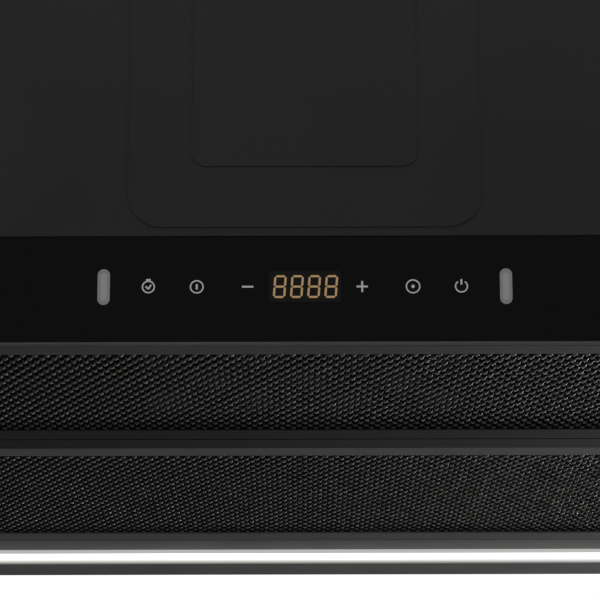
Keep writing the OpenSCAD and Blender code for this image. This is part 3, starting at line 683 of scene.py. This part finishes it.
def spring_coil(shape, axis, coil_r, start, end, steps=18, sides=8):
    """A round wire wound along Y about an axis, its first and last turns closed."""
    closed = 2 * LATCH_WIRE_R
    rows = []
    for i in range(steps * LATCH_TURNS + 1):
        turn = i / steps
        ends = min(turn, 1) + max(turn - LATCH_TURNS + 1, 0)
        middle = min(max((turn - 1) / (LATCH_TURNS - 2), 0), 1)
        y = start + closed * ends + (end - start - 2 * closed) * middle
        out = Vector((math.cos(2 * math.pi * turn), 0, math.sin(2 * math.pi * turn)))
        centre = axis + out * coil_r + Vector((0, y, 0))
        rows.append([shape.verts.new(centre + out * u + Vector((0, v, 0)))
                     for u, v in arc(LATCH_WIRE_R, 0, 360, sides)[:-1]])
    for low, high in zip(rows, rows[1:]):
        for i in range(sides):
            j = (i + 1) % sides
            shape.faces.new((low[i], low[j], high[j], high[i]))
    shape.faces.new(rows[0][::-1])
    shape.faces.new(rows[-1])


# ---------------------------------------------------------------- screws

# Height of a screw's head, radius of its shank, and the pitch of its thread
HEAD_T = 1.8 * MM
SHANK_R = 1.75 * MM
THREAD_PITCH = 1.1 * MM


def islands(node):
    """The boxes of a CAD node's separate solids."""
    shape = bmesh.new()
    shape.from_mesh(NODES[node].data)
    waiting = set(shape.verts)
    boxes = []
    while waiting:
        reached, edge = set(), {waiting.pop()}
        while edge:
            reached |= edge
            edge = {e.other_vert(v) for v in edge for e in v.link_edges} - reached
        waiting -= reached
        places = np.array([v.co for v in reached])
        boxes.append((Vector(places.min(axis=0)), Vector(places.max(axis=0))))
    shape.free()
    return boxes


def turned(shape, profile, place, steps=24):
    """Rings of a turned shape: profile lists (radius, height), place(u, v, height) a corner."""
    rows = []
    for radius, height in profile:
        rows.append([shape.verts.new(place(u, v, height)) for u, v in arc(radius, 0, 360, steps)[:-1]])
    for low, high in zip(rows, rows[1:]):
        for i in range(steps):
            j = (i + 1) % steps
            shape.faces.new((low[i], low[j], high[j], high[i]))
    return rows


def cross_screw(shape, place, radius, length):
    """A pan-head screw, head up from height 0, with a cross recess and a ridged shank."""
    head = [(radius, 0), (radius, 0.35 * HEAD_T), (0.93 * radius, 0.68 * HEAD_T),
            (0.76 * radius, 0.92 * HEAD_T), (0.6 * radius, HEAD_T)]
    ridges = []
    turns = max(2, int(length / THREAD_PITCH))
    for i in range(turns):
        top = -length * i / turns
        ridges += [(0.78 * SHANK_R, top - 0.1 * length / turns), (SHANK_R, top - 0.5 * length / turns)]
    shank = [(0.25 * SHANK_R, -length), *ridges[::-1], (0.8 * SHANK_R, 0)]
    rows = turned(shape, shank + head, place)
    shape.faces.new(rows[0][::-1])
    reach, half = 0.42 * radius, 0.11 * radius
    outline = []
    for q in range(4):
        c, d = math.cos(q * math.pi / 2), math.sin(q * math.pi / 2)
        for u, v in ((reach, -half), (reach, half), (half, half)):
            outline.append((u * c - v * d, u * d + v * c))
    rim = [shape.verts.new(place(u, v, HEAD_T)) for u, v in outline]
    floor = [shape.verts.new(place(u * 0.7, v * 0.7, 0.35 * HEAD_T)) for u, v in outline]
    edges = []
    for i in range(len(rim)):
        j = (i + 1) % len(rim)
        shape.faces.new((rim[i], rim[j], floor[j], floor[i]))
        edges.append(shape.edges.get((rim[i], rim[j])))
    shape.faces.new(floor)
    top = rows[-1]
    edges += [shape.edges.get((top[i], top[(i + 1) % len(top)])) for i in range(len(top))]
    bmesh.ops.triangle_fill(shape, edges=edges, use_beauty=True)


def build_screws(node, up):
    """Detailed screws in place of a CAD node's plain ones; up is +1 where their heads are up."""
    shape = bmesh.new()
    for low, high in islands(node):
        middle = (low + high) / 2
        seat = high.z - HEAD_T if up > 0 else low.z + HEAD_T

        def place(u, v, height, middle=middle, seat=seat):
            return (middle.x + u, middle.y + v * up, seat + height * up)

        cross_screw(shape, place, (high.x - low.x) / 2, high.z - low.z - HEAD_T)
    name = f"{node}_detailed"
    add(name, from_bmesh(name, shape), SCREW_STEEL, "housing", "screw_steel", node)


# ---------------------------------------------------------------- carried-over CAD nodes

def dress_nodes():
    """Every carried-over node's material, and how far its edges are rounded."""
    for node in ("front_panel", "side_panel_left", "side_panel_right", "top_panel", "back_panel"):
        dress(node, MATTE_BLACK, 0.35 * MM)
    dress("intake_frame", underside_paint(), 0.25 * MM)
    dress("control_glass", BLACK_GLASS, 0.3 * MM)
    dress("trim_lip", TRIM, 0.3 * MM)
    dress("sensor_windows", LENS_PAINTED_GLOW)
    for which in ("front", "rear"):
        dress(f"{which}_filter_frame", frame_painted_light(which), 0.3 * MM)
        dress(f"{which}_filter_pins", WIRE_STEEL, 0.2 * MM)
        dress(f"{which}_latch_cases", BLACK_PLASTIC, 0.25 * MM)
        dress(f"{which}_latch_left", BLACK_PLASTIC, 0.25 * MM)
        dress(f"{which}_latch_right", BLACK_PLASTIC, 0.25 * MM)
    for node in ("glass_rail", "wall_plates", "filter_pivots", "scroll_left", "scroll_right",
                 "inlet_rings", "blower_flange", "motor_bracket", "capacitor_clip"):
        dress(node, ZINC, 0.2 * MM)
    for node in ("control_carrier", "cable_gland", "outlet_collar"):
        dress(node, BLACK_PLASTIC, 0.3 * MM)
    for node in ("electronics_box", "electronics_lid", "flap_left", "flap_right"):
        dress(node, GREY_PLASTIC, 0.3 * MM)
    for node in ("light_driver", "run_capacitor", "terminal_block"):
        dress(node, WHITE_PLASTIC, 0.4 * MM)
    for node in ("control_board", "sensor_boards", "light_board", "power_board"):
        dress(node, BOARD_GREEN, 0.15 * MM)
    for node in ("motor", "impeller_hub"):
        dress(node, CAST_ALLOY, 0.6 * MM)
    for node in ("motor_shaft", "touch_springs", "flap_pin"):
        dress(node, WIRE_STEEL)
    dress("shaft_nut", SCREW_STEEL, 0.3 * MM)
    dress("impeller", GALVANISED)
    dress("display_module", WINDOW_DARK, 0.2 * MM)
    dress("light_channel", light_spill(), 0.2 * MM)
    dress("light_diffuser", LIGHT_WHITE, 0.3 * MM)


# The greys of a filter frame's front and rear rails, which are painted light and shade
RAIL_PAINTED_LIGHT_GREYS = {"front": (0.108, 0.023), "rear": (0.165, 0.132)}


def frame_painted_light(which):
    """Each filter frame's paint, with light and shade painted in along it: lighter on its front rail,
    darker behind, and on the rear filter lit again near the light bar.
    """
    low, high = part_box(f"{which}_filter_frame")
    near, far = RAIL_PAINTED_LIGHT_GREYS[which]
    stops = ((0.0, near), (0.12, near), (0.8, far * 0.95), (1.0, far))
    return graded(f"{which}_frame_painted_light", "Y", low.y, high.y, stops, rough=0.55, spec=0.05,
                  lit_face=(low.z, 1.6 * MM))


def underside_paint():
    """The fixed underside, with painted shade between the filters and painted light spill beside the
    light bar.
    """
    low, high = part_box("intake_frame")
    bar_low, bar_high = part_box("light_channel")
    reach = high.y - low.y
    before, behind = (bar_low.y - low.y) / reach, (bar_high.y - low.y) / reach
    stops = ((0.0, 0.03), (0.35, 0.027), (0.55, 0.024), (before - 0.05, 0.19), (before, 0.34),
             (behind, 0.185), (1.0, 0.165))
    return graded("underside_paint", "Y", low.y, high.y, stops, rough=0.6, spec=0.05,
                  lit_face=(low.z, 1.0 * MM))


def light_spill():
    """The light bar's channel edges, with the diffuser's light painted on as a glow: bright beside the
    diffuser, fading to its back.
    """
    low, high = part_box("light_channel")
    lens_low, lens_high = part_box("light_diffuser")
    before, behind = ((edge - low.y) / (high.y - low.y) for edge in (lens_low.y, lens_high.y))
    made, tree, shader = node_tree("light_channel")
    stops = ((0.0, 0.42), (before * 0.8, 0.44), (before, 0.66), (behind, 0.9), (behind + 0.08, 0.72),
             (behind + 0.16, 0.42), (1.0, 0.05))
    lit = along(tree, "Y", low.y, high.y, [(position, grey(value, 0.06)) for position, value in stops])
    # Painted light spill: the channel glows, though it holds no lamp
    tree.links.new(lit, shader.inputs["Emission Color"])
    shader.inputs["Emission Strength"].default_value = 0.95
    grain = noise(tree, 900, 3.0)
    tree.links.new(ramp(tree, grain, (0.2, 0.2, 0.19), (0.25, 0.25, 0.24)), shader.inputs["Base Color"])
    tree.links.new(spread(tree, grain, 0.35, 0.5), shader.inputs["Roughness"])
    return made


# ---------------------------------------------------------------- stage

# How far the floor lies below the hood and reaches each way, and the surround's strength as
# the camera sees it and as it lights the hood
FLOOR_DROP = 3.0
FLOOR_REACH = 14
SEEN_WHITE = 1.05
SOFT_LIGHT = 0.30


def build_floor():
    """A plain pale floor far below the hood."""
    shape = bmesh.new()
    bmesh.ops.create_grid(shape, x_segments=8, y_segments=8, size=FLOOR_REACH)
    floor = bpy.data.objects.new("floor", from_bmesh("floor", shape))
    floor.location.z = cad_low.z - FLOOR_DROP
    floor.data.materials.append(floor_material())
    bpy.context.scene.collection.objects.link(floor)


def build_world():
    """A pale surround, brighter to the camera than it lights the hood."""
    world = bpy.data.worlds.new("studio")
    bpy.context.scene.world = world
    world.use_nodes = True
    tree = world.node_tree
    seen = tree.nodes["Background"]
    seen.inputs["Color"].default_value = (1, 1, 1, 1)
    seen.inputs["Strength"].default_value = SEEN_WHITE
    soft = tree.nodes.new("ShaderNodeBackground")
    soft.inputs["Color"].default_value = (1, 1, 1, 1)
    soft.inputs["Strength"].default_value = SOFT_LIGHT
    path = tree.nodes.new("ShaderNodeLightPath")
    mix = tree.nodes.new("ShaderNodeMixShader")
    tree.links.new(path.outputs["Is Camera Ray"], mix.inputs["Fac"])
    tree.links.new(soft.outputs["Background"], mix.inputs[1])
    tree.links.new(seen.outputs["Background"], mix.inputs[2])
    tree.links.new(mix.outputs["Shader"], tree.nodes["World Output"].inputs["Surface"])


def build_lamps():
    """Soft lamps all round; two low ones graze the underside from the right, so that its mesh
    grows lighter there."""
    middle = (cad_low + cad_high) / 2
    under_right = (cad_high.x + 0.35, cad_low.y + 0.1, cad_low.z - 0.04)
    behind_right = (0.95, 1.2, cad_low.z - 0.075)
    lamp("right_soft", under_right, (0, cad_low.y + 0.2, cad_low.z), width=0.12, power=1.6)
    lamp("behind_right", behind_right, (0.3, -0.25, cad_low.z), width=0.5, power=58, height=0.08)
    lamp("low_soft", (0.9, -1.7, -1.6), middle, width=1.0, power=4)
    lamp("front_soft", (-0.6, -2.0, 2.3), middle, width=1.6, power=30)
    lamp("top_soft", (0.2, -0.3, 2.4), middle, width=2.2, power=60)
    lamp("back_soft", (-1.4, 2.2, 1.0), middle, width=1.4, power=55)
    for side in (-1, 1):
        lamp("side_soft", (side * 2.6, -0.1, 0.7), middle, width=1.2, power=30)


def floor_material():
    """Pale and softly lit from above, clear from below, so that low views see past it."""
    made, tree, shader = node_tree("pale_floor")
    slow = noise(tree, 0.8, 2.0)
    pale = tree.nodes.new("ShaderNodeEmission")
    pale.inputs["Strength"].default_value = 0.86
    tree.links.new(ramp(tree, slow, (0.97, 0.97, 0.965), (1.0, 1.0, 0.995)), pale.inputs["Color"])
    dim = tree.nodes.new("ShaderNodeBsdfDiffuse")
    tree.links.new(ramp(tree, slow, (0.08, 0.08, 0.08), (0.1, 0.1, 0.1)), dim.inputs["Color"])
    clear = tree.nodes.new("ShaderNodeBsdfTransparent")
    path = tree.nodes.new("ShaderNodeLightPath")
    face = tree.nodes.new("ShaderNodeNewGeometry")
    seen = tree.nodes.new("ShaderNodeMixShader")
    sided = tree.nodes.new("ShaderNodeMixShader")
    tree.links.new(path.outputs["Is Camera Ray"], seen.inputs["Fac"])
    tree.links.new(dim.outputs["BSDF"], seen.inputs[1])
    tree.links.new(pale.outputs["Emission"], seen.inputs[2])
    tree.links.new(face.outputs["Backfacing"], sided.inputs["Fac"])
    tree.links.new(seen.outputs["Shader"], sided.inputs[1])
    tree.links.new(clear.outputs["BSDF"], sided.inputs[2])
    tree.links.new(sided.outputs["Shader"], tree.nodes["Material Output"].inputs["Surface"])
    tree.nodes.remove(shader)
    return made


def lamp(name, place, aim, width, power, height=None):
    """A soft area lamp that the camera doesn't see, square unless a height is given."""
    data = bpy.data.lights.new(name, "AREA")
    data.shape = "RECTANGLE"
    data.size = width
    data.size_y = height or width
    data.energy = power
    made = bpy.data.objects.new(name, data)
    made.location = place
    made.rotation_mode = "QUATERNION"
    made.rotation_quaternion = (Vector(aim) - Vector(place)).to_track_quat("-Z", "Y")
    made.visible_camera = False
    bpy.context.scene.collection.objects.link(made)


# The camera's lens and sensor width in millimetres, its place left of the middle, ahead of
# the front and below the underside, and its tilt up and roll in degrees
LENS = 178
SENSOR_W = 36
CAMERA_LEFT = 2 * MM
CAMERA_AHEAD = 1.157
CAMERA_BELOW = 0.300
CAMERA_TILT = 15.372
CAMERA_ROLL = -0.13


def build_camera():
    """A long lens below the hood's front edge, tilted up at its underside."""
    data = bpy.data.cameras.new("camera")
    data.sensor_width = SENSOR_W
    data.lens = LENS
    camera = bpy.data.objects.new("camera", data)
    camera.location = (-CAMERA_LEFT, cad_low.y - CAMERA_AHEAD, cad_low.z - CAMERA_BELOW)
    tilt = Matrix.Rotation(math.radians(90 + CAMERA_TILT), 4, "X")
    roll = Matrix.Rotation(math.radians(CAMERA_ROLL), 4, "Z")
    camera.rotation_mode = "QUATERNION"
    camera.rotation_quaternion = (tilt @ roll).to_quaternion()
    bpy.context.scene.collection.objects.link(camera)
    bpy.context.scene.camera = camera


build_camera()
build_floor()
build_world()
build_lamps()
dress_nodes()
build_keys()
build_display()
build_sensor_cores()
build_relief()
for which in ("front", "rear"):
    build_filter(which)
    build_latch_springs(which)
build_screws("panel_screws", 1)
build_screws("blower_screws", -1)
bpy.context.scene.view_settings.view_transform = "Standard"
